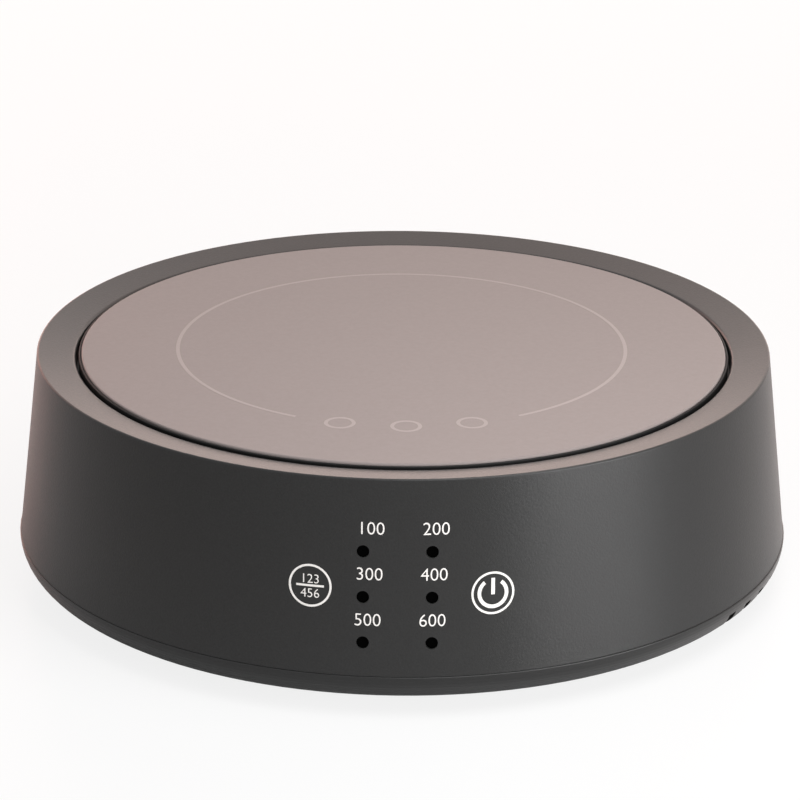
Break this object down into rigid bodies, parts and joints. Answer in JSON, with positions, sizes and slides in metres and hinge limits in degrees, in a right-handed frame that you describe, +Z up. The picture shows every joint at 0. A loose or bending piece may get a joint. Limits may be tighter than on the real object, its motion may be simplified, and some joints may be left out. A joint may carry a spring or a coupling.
{
  "type": "electric tea stove",
  "caption": "Round countertop electric tea stove: conical moulded housing, recessed ceramic glass top over a ribbon heater, touch panel with indicator lights, cooling fan in the base.",
  "frame": {"origin": "on the table under the middle of the stove, in the plane of the feet", "axes": "+Z up through the glass top, -Y towards the touch panel, +X to the right seen from the front"},
  "size_m": [0.2, 0.2, 0.0589],
  "materials": {
    "shell_plastic": "fine moulded texture, matte dark grey",
    "ceramic_glass": "satin dark glass ceramic, opaque",
    "seal_silicone": "matte silicone",
    "foot_rubber": "matte rubber",
    "screw_steel": "zinc plated",
    "sheet_steel": "galvanised sheet",
    "insulation_fibre": "pressed ceramic fibre",
    "ribbon_alloy": "oxidised heating alloy",
    "spring_steel": "drawn wire",
    "white_ceramic": "unglazed steatite",
    "board_laminate": "green solder mask",
    "black_plastic": "moulded black",
    "smoked_lens": "smoked clear plastic",
    "led_resin": "diffused epoxy",
    "socket_nylon": "natural nylon",
    "capacitor_case": "yellow box",
    "capacitor_sleeve": "shrunk sleeve",
    "copper_winding": "enamelled copper",
    "sintered_bronze": "sintered bush",
    "sink_aluminium": "extruded",
    "magnet_ferrite": "pressed ferrite",
    "lead_sleeve": "glass braid",
    "wire_sheath": "soft sheath",
    "flat_cable": "grey flat cable",
    "panel_ink": "white ink printed on the wall",
    "glass_enamel": "pale enamel fired on the glass"
  },
  "bodies": {
    "housing": {"upper_shell": "shell_plastic", "base_cover": "shell_plastic", "glass_top": "ceramic_glass", "glass_seal": "seal_silicone", "foot_front_left": "foot_rubber", "foot_front_right": "foot_rubber", "foot_rear_left": "foot_rubber", "foot_rear_right": "foot_rubber", "cord_gland": "foot_rubber", "housing_screws": "screw_steel", "board_screws": "screw_steel", "panel_screws": "screw_steel", "fan_screws": "screw_steel", "heater_pan": "sheet_steel", "heat_shield": "sheet_steel", "insulation_disc": "insulation_fibre", "insulation_ring": "insulation_fibre", "heating_ribbon": "ribbon_alloy", "pan_spring_1": "spring_steel", "pan_spring_2": "spring_steel", "pan_spring_3": "spring_steel", "touch_spring_select": "spring_steel", "touch_spring_power": "spring_steel", "limiter_rod": "white_ceramic", "limiter_head": "white_ceramic", "heater_terminal": "white_ceramic", "fuse": "white_ceramic", "power_board": "board_laminate", "control_board": "board_laminate", "mains_terminal": "black_plastic", "heater_outlet": "black_plastic", "triac": "black_plastic", "control_chip": "black_plastic", "fan_frame": "black_plastic", "indicator_lens": "smoked_lens", "indicator_led_1": "led_resin", "indicator_led_2": "led_resin", "indicator_led_3": "led_resin", "indicator_led_4": "led_resin", "indicator_led_5": "led_resin", "indicator_led_6": "led_resin", "fan_socket": "socket_nylon", "panel_socket": "socket_nylon", "control_socket": "socket_nylon", "filter_capacitor": "capacitor_case", "smoothing_capacitor": "capacitor_sleeve", "supply_transformer": "copper_winding", "fan_stator": "copper_winding", "fan_bearing": "sintered_bronze", "heat_sink": "sink_aluminium", "heater_lead_live": "lead_sleeve", "heater_lead_return": "lead_sleeve", "limiter_jumper": "lead_sleeve", "fan_lead": "wire_sheath", "panel_harness": "flat_cable"},
    "rotor": {"fan_rotor": "black_plastic", "fan_magnet": "magnet_ferrite", "fan_shaft": "spring_steel"}
  },
  "joints": [
    {"name": "fan_spin", "type": "hinge", "parent": "housing", "child": "rotor", "pos_m": [-0.038, 0, 0.0134], "axis": [0, 0, 1], "continuous": true}
  ]
}
